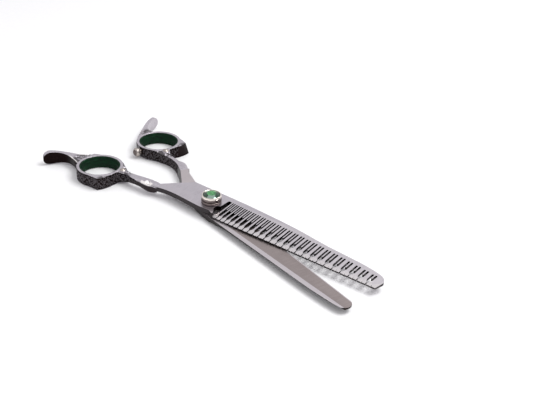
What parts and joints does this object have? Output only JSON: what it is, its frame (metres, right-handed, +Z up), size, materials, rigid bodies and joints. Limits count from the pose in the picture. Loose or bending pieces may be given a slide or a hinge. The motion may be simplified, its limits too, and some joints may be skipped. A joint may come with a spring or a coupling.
{
  "type": "thinning shears",
  "caption": "Thinning shears with a forked-tooth blade over a plain blade, ornate mirrored handles with swept finger rests, soft ring inserts and a jewelled tension dial.",
  "frame": {"origin": "centre of the pivot bolt's head, on the plane that the shears lie on; the Z axis is the pivot axis", "axes": "+X from the pivot along the tooth edge to the tips, +Z up out of the toothed blade's face, +Y towards the thumb ring"},
  "size_m": [0.191, 0.0802, 0.0102],
  "materials": {
    "blade_steel": "satin ground stainless steel",
    "handle_steel": "satin cast steel with darkened scroll engraving on the walls",
    "polished_steel": "polished steel",
    "dial_steel": "turned steel, darkened",
    "spring_steel": "sprung steel strip",
    "bush_bronze": "sintered bronze",
    "slick_nylon": "natural nylon",
    "green_silicone": "moulded bottle-green silicone, slight gloss",
    "clear_silicone": "moulded silicone",
    "foil": "dark reflective foil",
    "green_glass": "faceted green glass"
  },
  "bodies": {
    "toothed_half": {"toothed_blade": "blade_steel", "finger_handle": "handle_steel", "finger_ring_insert": "green_silicone", "finger_shank_stud": "polished_steel", "pivot_bush": "bush_bronze", "dial_washer": "slick_nylon"},
    "plain_half": {"plain_blade": "blade_steel", "thumb_handle": "handle_steel", "thumb_ring_insert": "green_silicone", "thumb_shank_stud": "polished_steel", "bumper_holder": "polished_steel", "bumper_pad": "clear_silicone", "pivot_bolt": "polished_steel", "blade_washer": "slick_nylon", "detent_spring": "spring_steel"},
    "dial": {"tension_dial": "dial_steel", "gem_foil": "foil", "dial_bezel": "polished_steel", "gem": "green_glass"}
  },
  "joints": [
    {"name": "blade_pivot", "type": "hinge", "parent": "toothed_half", "child": "plain_half", "pos_m": [0, 0, 0], "axis": [0, 0, 1], "range_deg": [-78.5, 11.5]},
    {"name": "dial_turn", "type": "hinge", "parent": "plain_half", "child": "dial", "pos_m": [0, 0, 0], "axis": [0, 0, 1], "range_deg": [-135, 135]}
  ]
}
